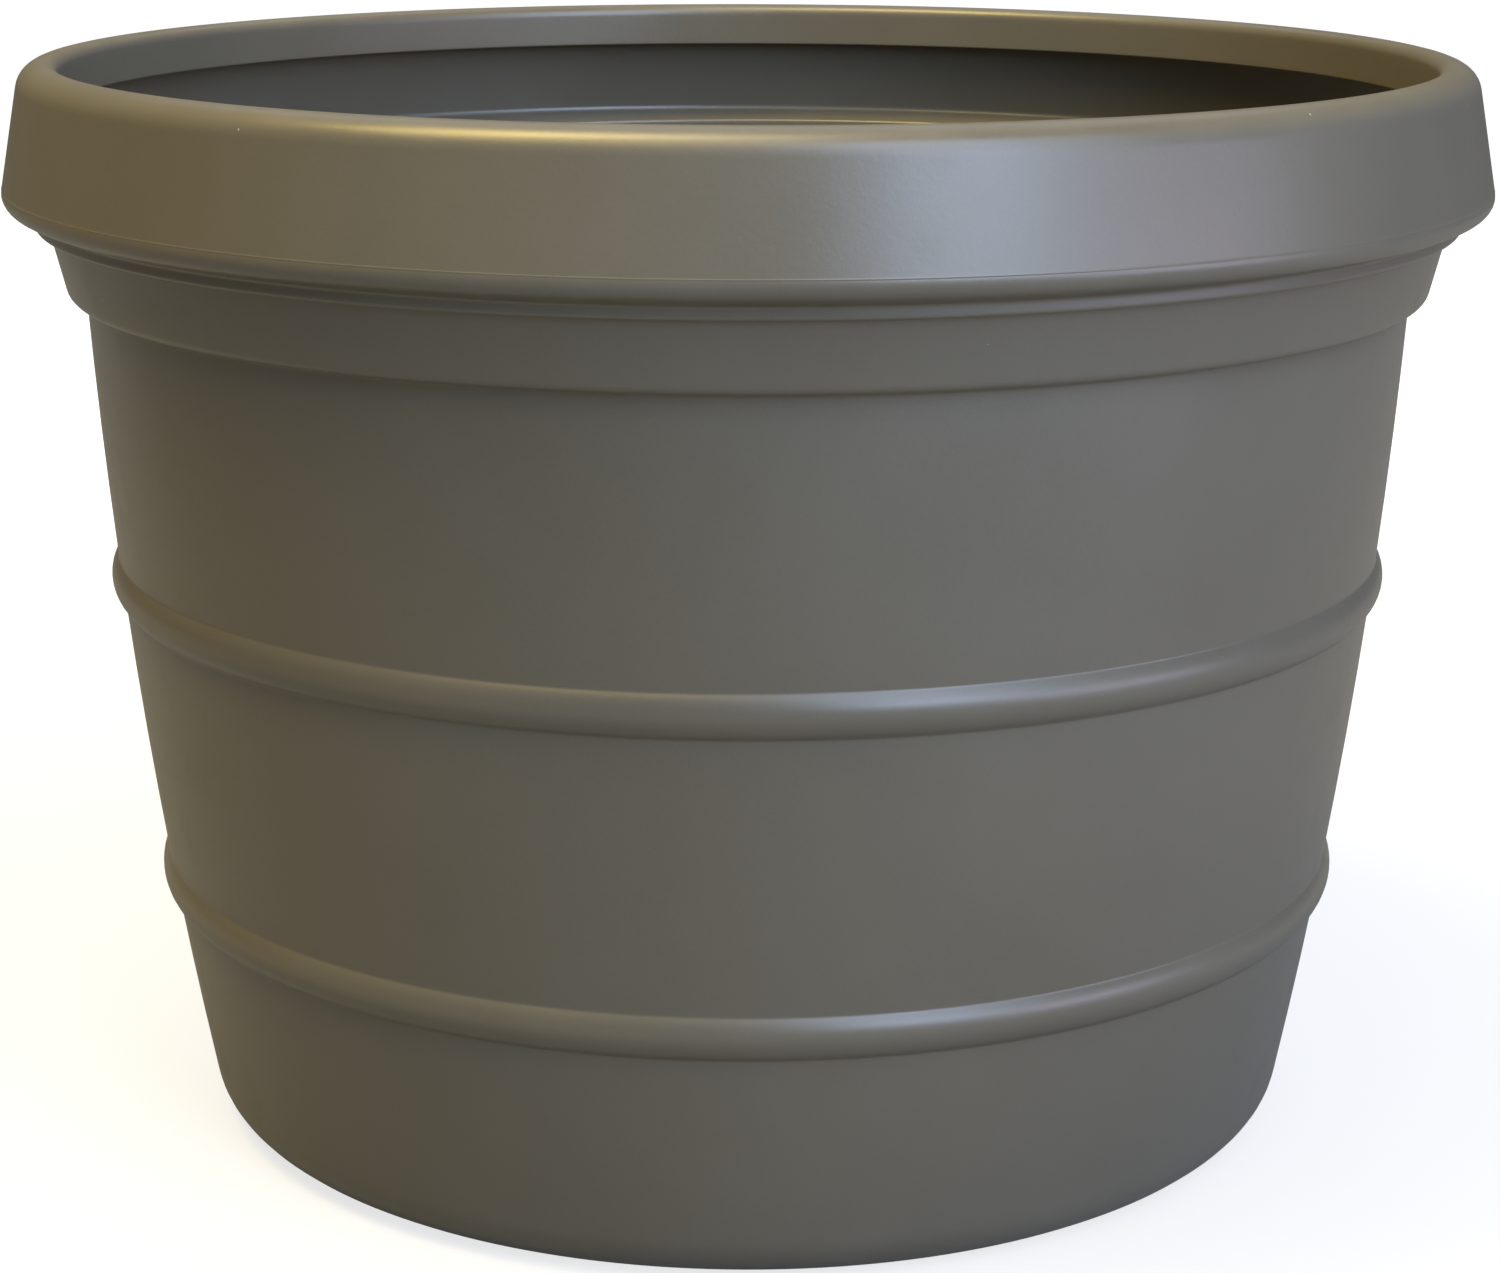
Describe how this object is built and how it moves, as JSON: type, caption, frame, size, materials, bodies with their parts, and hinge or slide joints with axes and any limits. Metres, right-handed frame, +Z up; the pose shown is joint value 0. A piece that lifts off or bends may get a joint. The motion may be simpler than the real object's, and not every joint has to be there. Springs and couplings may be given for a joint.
{
  "type": "planter pot",
  "caption": "Round floor planter pot with a tapering barrel wall, raised belts, a stepped collar, a hooked flared rim, and floor drains closed by pull-out stoppers.",
  "frame": {"origin": "on the ground, at the centre of the foot ring", "axes": "+Z up along the pot's axis, -Y towards the viewer of the picture, one drain on +X"},
  "size_m": [0.5582, 0.5582, 0.4074],
  "materials": {
    "pot_plastic": "satin moulded polyethylene, taupe grey",
    "plug_plastic": "satin moulded polypropylene, dark grey",
    "seal_rubber": "matt black rubber"
  },
  "bodies": {
    "pot": {"pot_shell": "pot_plastic"},
    "stopper_1": {"drain_plug_1": "plug_plastic", "plug_seal_1": "seal_rubber"},
    "stopper_2": {"drain_plug_2": "plug_plastic", "plug_seal_2": "seal_rubber"},
    "stopper_3": {"drain_plug_3": "plug_plastic", "plug_seal_3": "seal_rubber"},
    "stopper_4": {"drain_plug_4": "plug_plastic", "plug_seal_4": "seal_rubber"}
  },
  "joints": [
    {"name": "stopper_1_lift", "type": "slide", "parent": "pot", "child": "stopper_1", "axis": [0, 0, 1], "range_m": [0, 0.43]},
    {"name": "stopper_2_lift", "type": "slide", "parent": "pot", "child": "stopper_2", "axis": [0, 0, 1], "range_m": [0, 0.43]},
    {"name": "stopper_3_lift", "type": "slide", "parent": "pot", "child": "stopper_3", "axis": [0, 0, 1], "range_m": [0, 0.43]},
    {"name": "stopper_4_lift", "type": "slide", "parent": "pot", "child": "stopper_4", "axis": [0, 0, 1], "range_m": [0, 0.43]}
  ]
}
